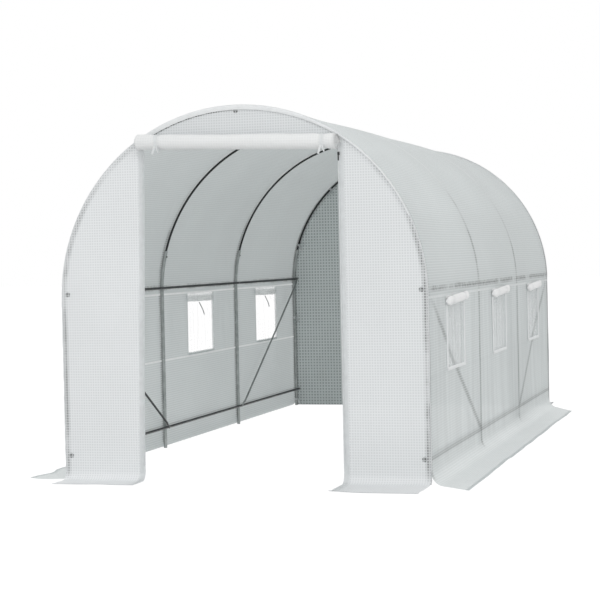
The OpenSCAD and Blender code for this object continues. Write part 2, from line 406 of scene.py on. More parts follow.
def film(name, cell, thread, through, see=0.0, pitch=0.014, width=0.0048, crease=0.35, painted_light_and_shade=None,
         dense=0.6, raised=0.06, streaks=0.0):
    """Woven film: white threads in a grid, with clearer film between them.

    cell and thread are colours; through is how much light the cells pass, dense the share of it that threads
    pass, and see how clear the cells are; raised lifts the threads, crease is the depth of folds, streaks the
    strength of the folds' painted shade and light, and painted_light_and_shade gives painted shadows and
    highlights.
    """
    s = Shade(name)
    weave = s.threads(pitch, width)
    tone = s.remap(s.noise(1.6, 3), 0.3, 0.7, 0.96, 1.0)
    colour = s.scale(s.mix(weave, cell, thread), tone)
    # Painted shade and light of upright folds, painted light that makes the film brighter towards the top of
    # the band, and the skirt at 0.925 of the colour.
    if streaks:
        folds = s.remap(s.noise(13, 2, stretch=(0.1, 1, 0.07)), 0.36, 0.64, 1 - streaks, 1 + streaks / 3)
        z = s.xyz()[2]
        folds = s.times(folds, s.remap(z, 0.45, 1.1, 1, 1.035))
        upright = s.remap(z, 0.03, 0.13, 0, 1)
        skirt = s.remap(upright, 0, 1, 0.925, 0)
        colour = s.scale(colour, s.math("ADD", s.times(folds, upright), skirt))
    # Painted shadows of the tubes behind the film, deepest in the cells, and painted highlights.
    if painted_light_and_shade:
        gaps = s.remap(weave, 0, 1, 1, 0.35)
        dark, painted_highlights = painted_light_and_shade(s, *s.xyz())
        for mask, depth in dark:
            colour = s.mix(s.times(mask, gaps, depth), colour, PAINTED_SHADOW_TONE)
        for mask, depth in painted_highlights:
            colour = s.mix(s.times(mask, depth), colour, PAINTED_HIGHLIGHT_TONE)
    folds = s.noise(9, 4, stretch=(1, 1, 0.55), distort=1.0)
    height = s.math("ADD", s.times(weave, raised), folds)
    normal = s.bump(height, crease, 0.010)
    p = s.node("BsdfPrincipled", Base_Color=colour, Normal=normal, Roughness=0.42, Specular_IOR_Level=0.3)
    t = s.node("BsdfTranslucent", Color=colour, Normal=normal)
    body = s.mixed(s.remap(weave, 0, 1, through, through * dense), p, t)
    if not see:
        return s.done(body)
    clear = s.node("BsdfTransparent")
    return s.done(s.mixed(s.remap(weave, 0, 1, see, 0), body, clear))


def mesh_net(name, cover, through):
    """Fine insect net: thin threads with open holes, a few denser streaks, and the braces' painted shadow."""
    s = Shade(name)
    weave = s.threads(0.003, 0.0009)
    streak = s.remap(s.noise(14, 3, stretch=(2.2, 0.16, 1), uv=True), 0.5, 0.72, 0, 0.3)
    cover = s.math("MAXIMUM", s.times(weave, cover), streak)
    # Painted shadow of the braces on the net.
    brace = s.times(brace_shadow(s, *s.xyz()[1:]), 0.5 - 0.45 * through)
    colour = s.mix(brace, s.mix(weave, (0.925, 0.955, 0.96), (0.95, 0.975, 0.98)), (0.08, 0.09, 0.09))
    p = s.node("BsdfPrincipled", Base_Color=colour, Roughness=0.6)
    t = s.node("BsdfTranslucent", Color=(0.97, 0.97, 0.97))
    body = s.mixed(through, p, t)
    return s.done(s.mixed(cover, s.node("BsdfTransparent"), body))


def tape(name, colour, through=0.35):
    """Woven tape: fine ribs both ways and an uneven tone."""
    s = Shade(name)
    ribs = s.threads(0.0022, 0.0012)
    tone = s.remap(s.noise(30, 2), 0.3, 0.7, 0.93, 1.0)
    base = s.scale(s.mix(ribs, colour, tuple(c * 0.92 for c in colour)), tone)
    p = s.node("BsdfPrincipled", Base_Color=base, Normal=s.bump(ribs, 0.4, 0.0006), Roughness=0.62,
               Sheen_Weight=0.15)
    t = s.node("BsdfTranslucent", Color=base)
    return s.done(s.mixed(through, p, t))


def steel(name, dark, light, rough, metal):
    """Coated tube: uneven tone, fine grain along the coating and rubbed patches."""
    s = Shade(name)
    patch = s.remap(s.noise(26, 5), 0.35, 0.75, 0, 1)
    grain = s.noise(420, 3)
    rub = s.remap(s.noise(70, 6, distort=0.6), 0.62, 0.72, 0, 0.5)
    colour = s.mix(rub, s.mix(patch, dark, light), tuple(min(1, 1.8 * c + 0.04) for c in light))
    uneven = s.remap(patch, 0, 1, rough - 0.06, rough + 0.08)
    p = s.node("BsdfPrincipled", Base_Color=colour, Normal=s.bump(grain, 0.12, 0.0006), Roughness=uneven,
               Metallic=metal)
    return s.done(p)


def plastic(name, colour):
    """Moulded plastic with a fine grain."""
    s = Shade(name)
    tone = s.remap(s.noise(60, 4), 0.3, 0.7, 0.8, 1.1)
    grain = s.bump(s.noise(600, 2), 0.15, 0.0004)
    p = s.node("BsdfPrincipled", Base_Color=s.scale(colour, tone), Normal=grain, Roughness=0.5)
    return s.done(p)


# The left front panel's film is a copy of the end film painted lighter, and the gable's a copy painted darker:
# painted light and shade.
FILM_END = {1: film("film_end", (0.76, 0.78, 0.79), (0.85, 0.87, 0.88), see=0.03, through=0.18,
                    painted_light_and_shade=end_painted_shadows),
            -1: film("film_end_left_painted_lighter", (0.80, 0.82, 0.83), (0.89, 0.91, 0.92), see=0.03, through=0.18,
                     painted_light_and_shade=end_painted_shadows)}
FILM_GABLE_SHADED = film("film_gable_painted_darker", (0.705, 0.725, 0.735), (0.79, 0.81, 0.82), see=0.03, through=0.18,
                  painted_light_and_shade=gable_painted_shadows)
FILM_BACK = film("film_back", (0.74, 0.765, 0.77), (0.80, 0.825, 0.83), through=0.42, painted_light_and_shade=end_painted_shadows)
FILM_SIDE = {1: film("film_side", (0.784, 0.820, 0.820), (0.796, 0.832, 0.832), see=0.10, through=0.47,
                     painted_light_and_shade=side_painted_shadows, raised=0.012, streaks=0.075, dense=0.9),
             -1: film("film_left", (0.708, 0.745, 0.745), (0.772, 0.809, 0.809), see=0.10, through=0.47,
                      painted_light_and_shade=left_painted_shadows)}
FILM_ROOF = film("film_roof", (0.716, 0.753, 0.753), (0.776, 0.813, 0.813), see=0.06, through=0.47,
                 painted_light_and_shade=roof_painted_light)
# Inner face of the rear panel: its dark cells are painted shade.
FILM_REAR_SHADE = film("film_rear_inside_painted_shade", (0.51, 0.55, 0.545), (0.85, 0.885, 0.88), through=0.37, pitch=0.023,
                 width=0.0098)
FILM_ROLL = film("film_rolled", (0.87, 0.885, 0.885), (0.905, 0.915, 0.915), through=0.15, crease=0.6)
FILM_FLAP = {1: film("film_flap", (0.955, 0.962, 0.962), (0.975, 0.98, 0.98), through=0.15, crease=0.5),
             -1: film("film_flap_left", (0.97, 0.977, 0.977), (0.98, 0.985, 0.985), through=0.88, crease=0.5,
                      dense=0.95)}
NET = {1: mesh_net("window_net", 0.92, 0.22), -1: mesh_net("window_net_left", 0.28, 0.85)}
TAPE = tape("seam_tape", (0.945, 0.965, 0.97), 0.4)
TRIM = {1: tape("window_trim", (0.95, 0.97, 0.975), 0.12), -1: TAPE}
CLEAR_TAPE = tape("seam_clear", (0.955, 0.97, 0.97), 0.56)
SOFT_TAPE = tape("seam_soft", (0.90, 0.93, 0.932), 0.3)
# The ribbon's dark grey is painted shade of a thin string seen against the light.
SHADED_RIBBON = tape("tie_ribbon_painted_shade", (0.42, 0.44, 0.44), 0.1)
STEEL = steel("frame_steel", (0.015, 0.018, 0.019), (0.028, 0.033, 0.034), 0.38, 0.35)
LEG_STEEL = steel("leg_steel", (0.34, 0.365, 0.36), (0.49, 0.515, 0.51), 0.34, 0.45)
# A lighter copy of the frame steel for the rear braces: painted light.
LIT_BRACE_STEEL = steel("brace_steel_painted_lighter", (0.24, 0.26, 0.257), (0.33, 0.35, 0.347), 0.36, 0.4)
ZINC = steel("bolt_zinc", (0.20, 0.21, 0.21), (0.38, 0.39, 0.39), 0.3, 0.9)
DARK = plastic("dark_plastic", (0.035, 0.037, 0.038))

for name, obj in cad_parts.items():
    if name.endswith(("legs", "arc", "rail", "brace")):
        # The rear braces take the steel copy painted lighter.
        rear_brace = name.startswith("rear") and name.endswith("brace")
        obj.data.materials.clear()
        obj.data.materials.append(LEG_STEEL if "legs" in name else LIT_BRACE_STEEL if rear_brace else STEEL)


# Shape of the stretched film

def sag(y):
    """0 on the hoops and 1 half way between them."""
    for a, b in zip(HOOP_Y, HOOP_Y[1:]):
        if a <= y <= b:
            return sin(pi * (y - a) / (b - a)) ** 2
    return 0.0


def wall_x(y, z):
    """How far out the side film is: it hangs in a little between the hoops."""
    low = min(1.0, max(0.0, (z - 0.06) / 0.25))
    return R - 0.006 * low * sag(y) + 0.0016 * low * ripple((0.3, y, z), 2.2)


def smooth(t):
    """Eases from 0 to 1 as t does."""
    t = min(1.0, max(0.0, t))
    return t * t * (3 - 2 * t)


def spread(stops, step):
    """Values from the first stop to the last, through every stop, about a step apart."""
    out = [stops[0]]
    for a, b in zip(stops, stops[1:]):
        n = max(1, round(abs(b - a) / step))
        out.extend(a + (b - a) * k / n for k in range(1, n + 1))
    return out


def outline_x(z):
    """Half width of an end panel at a height."""
    return R_OUT if z <= SPRING else sqrt(max(0.0, R_OUT ** 2 - (z - SPRING) ** 2))


def outline_z(x):
    """Height of an end panel's outline at a distance from the middle."""
    return SPRING + sqrt(R_OUT ** 2 - x * x)


def door_edge_x(side, z):
    """Half width of the doorway at a height: its left edge leans in."""
    return DOOR - (LEFT_LEAN * smooth(z / GABLE_Z) if side < 0 else 0)


def foot_rows():
    """Rows of a sheet below its wall: round the bend at the ground, then out along the skirt."""
    rows = [("bend", a) for a in np.linspace(0, pi / 2, 9)[1:]]
    return rows + [("flat", t) for t in np.linspace(0, 1, 8)[1:]]


def below_spring(reach):
    """Length of an end panel's cut from the spring line to the end of its skirt."""
    return SPRING - BEND + (BEND - HALF_FILM) * (pi / 2 - 1) + reach - END


ALONG = spread([-END + HALF_FILM] + HOOP_Y + [END - HALF_FILM], 0.03)


def make_roof():
    """Roof sheet from seam to seam, sagging a little between the hoops."""
    straight = SPRING - SEAM_UP - SEAM / 2
    arc = pi * R
    length = arc + 2 * straight
    rows = 110
    steps = [length * k / rows for k in range(rows + 1)]
    points, uv = blank(len(steps), len(ALONG))
    for i, s in enumerate(steps):
        a = min(pi, max(0.0, (s - straight) / R))
        drop = max(0.0, straight - s, s - straight - arc)
        for j, y in enumerate(ALONG):
            r = R - (0.006 - 0.003 * sin(a)) * sag(y)
            r += 0.0022 * ripple((cos(a) * 1.3, y * 0.8, sin(a) * 1.3), 1.7, 4.0)
            points[i, j] = (r * cos(a), y, SPRING + r * sin(a) - drop)
            uv[i, j] = (s, y)
    obj = add_object("roof_film", grid_mesh(points, uv), [FILM_ROOF])
    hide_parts("roof_cover")


def strip(points, across, width, rise=(0, 0, 0)):
    """Grid of a tape along points, raised in the middle; across is one direction, or one a point."""
    if np.ndim(across) == 1:
        across = [across] * len(points)
    grid, uv = blank(len(points), 3)
    run = 0.0
    for i, (p, d) in enumerate(zip(points, across)):
        if i:
            run += (Vector(p) - Vector(points[i - 1])).length
        for k in (0, 1, 2):
            grid[i, k] = Vector(p) + Vector(d) * width * (k - 1) / 2 + Vector(rise) * (k == 1)
            uv[i, k] = (run, width * k / 2)
    return grid, uv


def join_grids(name, grids, mats):
    """One object out of several point grids."""
    bm = bmesh.new()
    for points, uv in grids:
        part = grid_mesh(points, uv)
        bm.from_mesh(part)
        bpy.data.meshes.remove(part)
    return add_object(name, bmesh_to_mesh(bm), mats)


def make_seams(side):
    """Tapes along the lower and the upper seam of one side."""
    seams = []
    for place, z in (("lower", SEAM_LOW), ("upper", SEAM_UP)):
        line = [(side * (wall_x(y, z) + 0.0006), y, z) for y in ALONG]
        mat = CLEAR_TAPE if side < 0 else SOFT_TAPE if place == "upper" else FILM_SIDE[1]
        seams.append(join_grids(f"{SIDES[side]}_{place}_seam", [strip(line, (0, 0, 1), SEAM_TAPE)], [mat]))
    return seams


def make_trims(side):
    """Raised trims down both edges of each window and along its sill."""
    trims = []
    for c in WIN_Y:
        for e in (-1, 1):
            y = c + e * (WIN_W / 2 + 0.006)
            line = [(side * (wall_x(y, z) + 0.0022), y + 0.0015 * ripple((c, y, z), 14), z)
                    for z in spread([SILL - 0.014, HEAD], 0.02)]
            trims.append(strip(line, (0, 1, 0), TRIM_W, (side * 0.006, 0, 0)))
        line = [(side * (wall_x(y, SILL) + 0.003), y, SILL - 0.005 + 0.001 * ripple((c, y, 0), 17))
                for y in spread([c - WIN_W / 2 - 0.016, c + WIN_W / 2 + 0.016], 0.02)]
        trims.append(strip(line, (0, 0, 1), SILL_TRIM, (side * 0.004, 0, 0)))
    return join_grids(f"{SIDES[side]}_window_trims", trims, [TRIM[side]])


def make_band(side):
    """Window band of one side, with its seams and trims."""
    word = SIDES[side]
    slack = 0.0036 if side > 0 else 0.002
    half = WIN_W / 2 + 0.012
    stops = [ALONG[0]]
    for c in WIN_Y:
        stops += [c - half, c + half]
    ys = spread(stops + [ALONG[-1]], 0.02)
    low, high = SEAM_LOW + SEAM / 2, SEAM_UP - SEAM / 2
    zs = spread([low, SILL, high], 0.016)
    points, uv = blank(len(zs), len(ys))
    for i, z in enumerate(zs):
        hold = 0
        if 0 < i < len(zs) - 1:
            hold = sin(pi * (z - SEAM_LOW) / (SEAM_UP - SEAM_LOW)) ** 0.7
        for j, y in enumerate(ys):
            fold = ripple((5.0 * side, y, z * 0.07), 13.0, 1.5) + 0.6 * ripple((0, y, z * 0.1), 29.0)
            points[i, j] = (side * (wall_x(y, z) + slack * hold * fold), y, z)
            uv[i, j] = (z, y)
    keep = np.ones((len(zs), len(ys)), bool)
    for i in range(len(zs) - 1):
        for j in range(len(ys) - 1):
            z, y = (zs[i] + zs[i + 1]) / 2, (ys[j] + ys[j + 1]) / 2
            if z > SILL and any(abs(y - c) < half for c in WIN_Y):
                keep[i, j] = False
    band = add_object(f"{word}_window_film", clean(grid_mesh(points, uv, keep)), [FILM_SIDE[side]])
    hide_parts(f"{word}_window_band")

    tapes = [*make_seams(side), make_trims(side)]


def make_lower(side):
    """Lower sheet of one side, bent at the ground, with a skirt whose ends are swept along the tunnel."""
    word = SIDES[side]
    bend = SIDE_BEND[side]
    rb = bend - HALF_FILM
    front, back, narrow, bow = (-0.19, -0.45, 0, 0) if side > 0 else (0.031, -0.03, 0.034, 0.035)
    front_from, front_run, back_from, back_run = 1.75, 0.5, 0.8, 1.45
    narrow_y, narrow_run = -2.03, 0.1
    in_bend = 0.28
    rows = [("wall", z) for z in spread([SEAM_LOW - SEAM / 2, bend], 0.025)] + foot_rows()
    points, uv = blank(len(rows), len(ALONG))
    for j, y in enumerate(ALONG):
        run = 0.0
        tip = smooth((-y - front_from) / front_run)
        shift = front * tip + back * smooth((y - back_from) / back_run)
        x0 = wall_x(y, bend)
        edge_x = SKIRT_X + 0.004 * ripple((y, 0, side), 3.0)
        edge_x -= narrow * exp(-((y - narrow_y) / narrow_run) ** 2)
        for i, (kind, v) in enumerate(rows):
            if kind == "wall":
                p = (wall_x(y, v), y, v)
            elif kind == "bend":
                sweep = shift * in_bend * v / (pi / 2)
                p = (x0 + rb - rb * cos(v), y + sweep, bend - rb * sin(v))
            else:
                x = x0 + rb + v * (edge_x - x0 - rb)
                lift = v * v * 0.010 * max(0, ripple((x * 0.5, y, side), 2.4, 2.0))
                sweep = shift * (in_bend + (1 - in_bend) * v) - bow * sin(pi * v) * tip
                p = (x, y + sweep, HALF_FILM + lift)
            if i:
                run += (Vector(p) - Vector(last)).length
            last = p
            points[i, j] = (side * p[0], p[1], p[2])
            uv[i, j] = (-run, y)
    lower = add_object(f"{word}_lower_film", grid_mesh(points, uv), [FILM_SIDE[side]])
    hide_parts(f"{word}_lower_cover")
    hem_line = [(p[0] - side * HEM / 2, p[1], p[2] + 0.0012) for p in points[-1]]
    hem = join_grids(f"{word}_skirt_hem", [strip(hem_line, (1, 0, 0), HEM)], [FILM_SIDE[side]])


def panel_grid(face, x_low, x_high, top, reach, cols, seed, bend=BEND):
    """Points of an end panel down to the ground and out along its skirt; face is -1 in front, 1 behind."""
    zs = []
    if top > SPRING:
        arc_rows = 40
        a0 = asin(min(1.0, (top - SPRING) / R_OUT))
        zs = [SPRING + R_OUT * sin(a0 * (1 - k / arc_rows)) for k in range(arc_rows)]
    rows = [("wall", z) for z in zs + spread([min(top, SPRING), bend], 0.028)] + foot_rows()
    points, uv = blank(len(rows), cols + 1)
    rb = bend - HALF_FILM
    for i, (kind, v) in enumerate(rows):
        z = v if kind == "wall" else bend
        a, b = x_low(z), x_high(z)
        for j in range(cols + 1):
            x = a + (b - a) * j / cols
            wave = 0.0022 * ripple((x, seed, z), 2.6) + 0.0012 * ripple((x * 2, seed, z * 0.6), 6.0)
            out, height, run = END + wave, z, z
            if kind == "bend":
                out += rb - rb * cos(v)
                height = bend - rb * sin(v)
                run = bend - rb * v
            elif kind == "flat":
                far = reach + 0.005 * ripple((x, seed, 0), 3.5)
                out = END + rb + v * (far - END - rb)
                height = HALF_FILM + v * v * 0.012 * max(0.0, ripple((x, seed, v), 3.0, 1.0))
                run = bend - rb * pi / 2 - v * (reach - END - rb)
            points[i, j] = (x, face * out, height)
            uv[i, j] = (x, run)
    return points, uv


def hem_from(name, edge, inward, width, lift, mat):
    """Folded hem along an edge of a sheet."""
    line = [Vector(p) + Vector(inward) * width / 2 + Vector(lift) for p in edge]
    obj = join_grids(name, [strip(line, inward, width)], [mat])
    return obj


def make_front_side(side):
    """Front panel on one side of the doorway, with its hems."""
    word = SIDES[side]
    reach = END + FRONT_SKIRT[side]
    top = outline_z(DOOR) - 0.0005

    def outer_edge(z):
        return outline_x(z) + (0.005 * ripple((side, 0.2, z), 5.5) if z < SPRING + 0.3 else 0)

    points, uv = panel_grid(-1, lambda z: door_edge_x(side, z), outer_edge, top, reach, 22, 3.0 * side)
    points[:, :, 0] *= side
    uv[:, :, 0] *= side
    obj = add_object(f"front_{word}_film", clean(grid_mesh(points, uv)), [FILM_END[side]])
    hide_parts(f"front_{word}_panel")
    door_edge = [p for p in points[:, 0] if p[2] < GABLE_Z + 0.03]
    hem = hem_from(f"front_{word}_door_hem", door_edge, (side, 0, 0), 0.032, (0, -0.0012, 0.0012), TAPE)
    foot = hem_from(f"front_{word}_skirt_hem", points[-1], (0, 1, 0), HEM, (0, 0, 0.0014), FILM_END[1])
    area = (R_OUT - DOOR) * below_spring(reach)
    slices = 200
    step = (top - SPRING) / slices
    area += sum((outline_x(SPRING + step * (k + 0.5)) - DOOR) * step for k in range(slices))


def make_gable():
    """Gable piece over the doorway, with the white welt along its arc, which narrows to the right."""
    xs = np.linspace(-DOOR, DOOR, 73)
    ts = np.linspace(0, 1, 15)
    points, uv = blank(len(xs), len(ts))
    for i, x in enumerate(xs):
        top = outline_z(x)
        for j, t in enumerate(ts):
            z = GABLE_Z + t * (top - GABLE_Z)
            points[i, j] = (x, -END - 0.002 * ripple((x, 0, z), 4.0), z)
            uv[i, j] = (x, z)
    obj = add_object("front_gable_film", grid_mesh(points, uv), [FILM_GABLE_SHADED])
    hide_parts("front_gable_panel")
    line, across = [], []
    for a in np.radians(np.linspace(24, 90 + degrees(asin(DOOR / R_OUT)), 70)):
        out = Vector((cos(a), 0, sin(a)))
        share = 0.3 + 0.7 * smooth((a - 0.61) / 0.96)
        line.append(Vector((0, -END - 0.0045, SPRING)) + out * (R_OUT - share * WELT / 2))
        across.append(out * share)
    welt = join_grids("front_gable_welt", [strip(line, across, WELT, (0, -0.003, 0))], [TRIM[1]])


def make_rear():
    """Rear panel with an inner face of its own, with a coarser weave whose dark cells are painted shade."""
    points, uv = panel_grid(1, lambda z: -outline_x(z), outline_x, outline_z(0) - 0.0005, REAR_REACH, 60, 7.0,
                            REAR_BEND)
    n, m = points.shape[:2]
    inside = points.copy()
    inside[:, 1:-1, 1] -= 0.0016
    inside[:, 1:-1, 2] += 0.0008
    faces = np.concatenate([points, inside[::-1]])
    mesh = grid_mesh(faces, np.concatenate([uv, uv[::-1]]), close_u=True)
    for k, face in enumerate(mesh.polygons):
        face.material_index = int(n - 1 <= k // (m - 1) < 2 * n - 1 and face.center.y < END + 0.006)
    obj = add_object("rear_film", clean(mesh), [FILM_BACK, FILM_REAR_SHADE])
    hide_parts("rear_panel")
    hem = hem_from("rear_skirt_hem", points[-1], (0, -1, 0), HEM, (0, 0, 0.0014), FILM_END[1])


def roll_grid(r0, r1, flat, length, lap, ties, seed, per_turn=26, step=0.02, closed=0.0, tele=0.02,
              squash=1.0):
    """Points (out, up, along) of a sheet that is sewn on above, hangs down and is rolled up outwards.

    r0 and r1 are the outer and inner radius; lap hangs above the roll; ties pinch it; closed is the length
    over which its ends are drawn shut; tele is how far the core stands out; squash flattens it.
    """
    around = sqrt((1 + squash ** 2) / 2)
    turns = (flat - lap) / (pi * (r0 + r1) * around)
    whole = 2 * pi * turns
    n = int(turns * per_turn)
    runs = [(None, lap * (1 - k / 3)) for k in range(3)]
    runs += [(whole * k / n, 0) for k in range(n + 1)]
    half = length / 2
    from_end = [closed * k for k in (0, 0.06, 0.2, 0.5)]
    places = [-half + d for d in from_end] + spread([-half + closed, half - closed], step)
    places = sorted({*places, *(half - d for d in from_end)})
    points, uv = blank(len(runs), len(places))
    for j, at in enumerate(places):
        pinch = 1 - 0.16 * sum(exp(-((at - t) / 0.022) ** 2) for t in ties)
        shut = 1.0
        if closed:
            shut = 0.08 + 0.92 * sqrt(1 - (1 - min(1.0, (half - abs(at)) / closed)) ** 2)
            pinch *= shut
        for i, (b, up) in enumerate(runs):
            if b is None:
                points[i, j] = (0.0008, up, at)
                uv[i, j] = (up - lap, at)
                continue
            r = r0 - (r0 - r1) * b / whole
            swell = 1 + 0.055 * ripple((at * 4.0, cos(b) * 0.6, sin(b) * 0.6), 1.0, seed)
            swell += 0.035 * ripple((at * 11.0, cos(b) * 1.4, sin(b) * 1.4), 1.0, seed + 5)
            r *= 1 + (swell * pinch - 1) * min(1.0, b / 1.2)
            end = 1 + tele / half * b / whole + 0.006 / length * sin(b * 0.45 + seed)
            points[i, j] = ((r0 - r * cos(b)) * squash * shut, -r * sin(b), at * end)
            uv[i, j] = (-lap - (r0 + r) / 2 * around * b, at)
    return points, uv


def door_roll_ends():
    """Hollow end faces of the rolled door."""
    rim = 0.039
    core = 0.02
    end = DOOR_ROLL_W / 2 - 0.003
    caps = []
    for e in (-1, 1):
        cap, uv = blank(33, 9)
        for a in range(33):
            t = 2 * pi * a / 32
            for b in range(9):
                r = rim * b / 8
                x = e * (end + core * (1 - r / DOOR_ROLL_R) + 0.0012 * sin(pi * b + t))
                x += DOOR_ROLL_X
                cap[a, b] = (x, DOOR_ROLL_Y - DOOR_ROLL_R - r * cos(t),
                             ROLL_Z + DOOR_TILT * x - r * sin(t))
                uv[a, b] = (rim * t, r)
        caps.append((cap, uv))
    return join_grids("rolled_door_ends", caps, [FILM_ROLL])


def make_door_roll():
    """The door, rolled up over the doorway."""
    points, uv = roll_grid(DOOR_ROLL_R, 0.005, GABLE_Z, DOOR_ROLL_W, 0.004, DOOR_TIES, 2.0, step=0.018)
    out, up, along = (points[:, :, k] for k in range(3))
    world = np.zeros_like(points)
    world[:, :, 0] = along + DOOR_ROLL_X
    world[:, :, 1] = DOOR_ROLL_Y - out
    world[:, :, 2] = ROLL_Z + up - 0.002 * np.cos(np.pi * along / 1.1) + DOOR_TILT * world[:, :, 0]
    obj = add_object("rolled_door", grid_mesh(world, uv), [FILM_ROLL])
    ends = door_roll_ends()
    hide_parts("door_roll")


def make_door_tapes():
    """Two tapes round the rolled door, each with two tails."""
    grids = []
    for tie in DOOR_TIES:
        x, z = tie + DOOR_ROLL_X, ROLL_Z + DOOR_TILT * tie
        ring = []
        for b in np.radians(8 + 344 * np.arange(25) / 24):
            r = 0.039 if 30 < degrees(b) < 330 else 0.0425
            ring.append((x + 0.003 * sin(b), DOOR_ROLL_Y - DOOR_ROLL_R + r * cos(b),
                         z - 0.002 - r * sin(b)))
        grids.append(strip(ring, (1, 0, 0), 0.016))
        for e, drop in ((-1, 0.042), (1, 0.032)):
            tail = [(x + e * (0.004 + 0.012 * t), DOOR_ROLL_Y - 0.076 - 0.008 * sin(2.2 * t),
                     z - 0.026 - drop * t) for t in np.linspace(0, 1, 9)]
            grids.append(strip(tail, (0.8, -0.5 * e, 0.15 * e), 0.012))
    obj = join_grids("door_tapes", grids, [TAPE])
    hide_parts("door_ties")


def make_net(side, i):
    """Gathered net of one window; a right one runs on behind the film and rises to the trims."""
    word = SIDES[side]
    c = WIN_Y[i]
    deep, full = (0.0022, 1.15) if side > 0 else (0.0007, 1.02)
    lap, sewn = (0.055, 0.0066) if side > 0 else (0.012, 0)
    pleat_w = 0.0175
    ys = spread([c - WIN_W / 2 - lap, c + WIN_W / 2 + lap], 0.0032)
    zs = spread([SILL - 0.008, HEAD], 0.045)
    points, uv = blank(len(zs), len(ys))
    for a, z in enumerate(zs):
        for b, y in enumerate(ys):
            pleat = sin(2 * pi * y / pleat_w + 2.2 * ripple((side, y, z * 0.2), 7.0, 0.4 * i))
            fold = ripple((side * 2.0, y, z * 0.12), 16.0, 0.4 * i)
            off = abs(y - c) - WIN_W / 2
            by_trim = smooth((off + 0.05) / 0.04)
            rise = sewn * by_trim - 1.9 * sewn * smooth((off + 0.002) / 0.016)
            loose = deep * (1 - 0.8 * by_trim) if side > 0 else deep
            points[a, b] = (side * (wall_x(y, z) - 0.0055 + rise + loose * (pleat + 0.8 * fold)), y, z)
            uv[a, b] = (full * y, z)
    net = add_object(f"{word}_net_{i + 1}", grid_mesh(points, uv), [NET[side]])
    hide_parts(f"{word}_window_net_{i + 1}")


def make_flap(side, i):
    """Flap of one window, rolled up over it and shut at its ends."""
    word = SIDES[side]
    lo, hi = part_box(f"{word}_window_flap_{i + 1}")
    length = hi.y - lo.y - 0.03
    drop = HEAD - SILL + 0.03
    roll_z = FLAP_Z - FLAP_HANG[side]
    tie = FLAP_TIE[i]
    points, uv = roll_grid(FLAP_R, 0.018, drop, length, SEAM_UP - roll_z - 0.003, (-tie, tie),
                           4.0 * i + side, 22, closed=0.03, tele=0.004, squash=FLAP_DEEP)
    out, up, along = (points[:, :, k] for k in range(3))
    lean = FLAP_LEAN[side] * along
    for a in range(3):
        lean[a] *= a / 3
    world = np.zeros_like(points)
    world[:, :, 1] = along + WIN_Y[i]
    world[:, :, 2] = roll_z + up + lean
    for a, b in np.ndindex(out.shape):
        world[a, b, 0] = side * (wall_x(world[a, b, 1], roll_z) + FLAP_OFF + out[a, b])
    roll = add_object(f"{word}_rolled_flap_{i + 1}", grid_mesh(world, uv), [FILM_FLAP[side]])
    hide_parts(f"{word}_window_flap_{i + 1}")


def make_flap_ties(side, i):
    """Loose ribbon inside a window, and the two tapes round its flap."""
    word = SIDES[side]
    roll_z = FLAP_Z - FLAP_HANG[side]
    y = WIN_Y[i] - 0.05
    string = [(side * (wall_x(y, roll_z) - 0.008 - 0.012 * sin(2.4 * t)), y + 0.075 * t ** 1.4,
               roll_z - 0.030 - 0.085 * t) for t in np.linspace(0, 1, 12)]
    ribbon = join_grids(f"{word}_flap_ribbon_{i + 1}", [strip(string, (0.4, 0.9, 0), 0.010)], [SHADED_RIBBON])

    r = 0.0238
    grids = []
    for t in (-FLAP_TIE[i], FLAP_TIE[i]):
        y = WIN_Y[i] + t
        x, z = wall_x(y, roll_z) + FLAP_OFF, roll_z + FLAP_LEAN[side] * t
        ring = [(side * (x + FLAP_DEEP * (FLAP_R - r * cos(b))), y, z - r * sin(b))
                for b in np.radians(12 + 336 * np.arange(19) / 18)]
        grids.append(strip(ring, (0, 1, 0), 0.012))
    ties = join_grids(f"{word}_flap_tapes_{i + 1}", grids, [TAPE])


def tube_mesh(line, radius, sides=8):
    """Thin round tube along a line of points."""
    pts = [Vector(p) for p in line]
    grid, uv = blank(sides, len(pts))
    run = 0.0
    side_dir = None
    for j, p in enumerate(pts):
        d = (pts[min(j + 1, len(pts) - 1)] - pts[max(j - 1, 0)]).normalized()
        if side_dir is None:
            side_dir = d.orthogonal().normalized()
        side_dir = (side_dir - d * side_dir.dot(d)).normalized()
        other = d.cross(side_dir)
        if j:
            run += (p - pts[j - 1]).length
        for k in range(sides):
            a = 2 * pi * k / sides
            grid[k, j] = p + radius * (cos(a) * side_dir + sin(a) * other)
            uv[k, j] = (radius * a, run)
    return grid_mesh(grid, uv, close_u=True)


def make_piping(face):
    """Welted seam where an end panel meets the roof and walls."""
    word = "front" if face < 0 else "rear"
    zs = spread([0.012, SPRING], 0.03)
    line = [(R_OUT + 0.003 * ripple((face, 0.4, z), 6.0), z) for z in zs]
    line += [(R_OUT * cos(a), SPRING + R_OUT * sin(a)) for a in np.linspace(0, pi, 91)[1:-1]]
    for z in reversed(zs):
        wave = 0.003 * ripple((face, 0.9, z), 6.0) + 0.0025 * ripple((face, 2.0, z), 24.0)
        line.append((-R_OUT - wave, z))
    pts = [(x, face * (END - 0.002), z) for x, z in line]
    obj = add_object(f"{word}_piping", tube_mesh(pts, 0.0028), [TAPE])


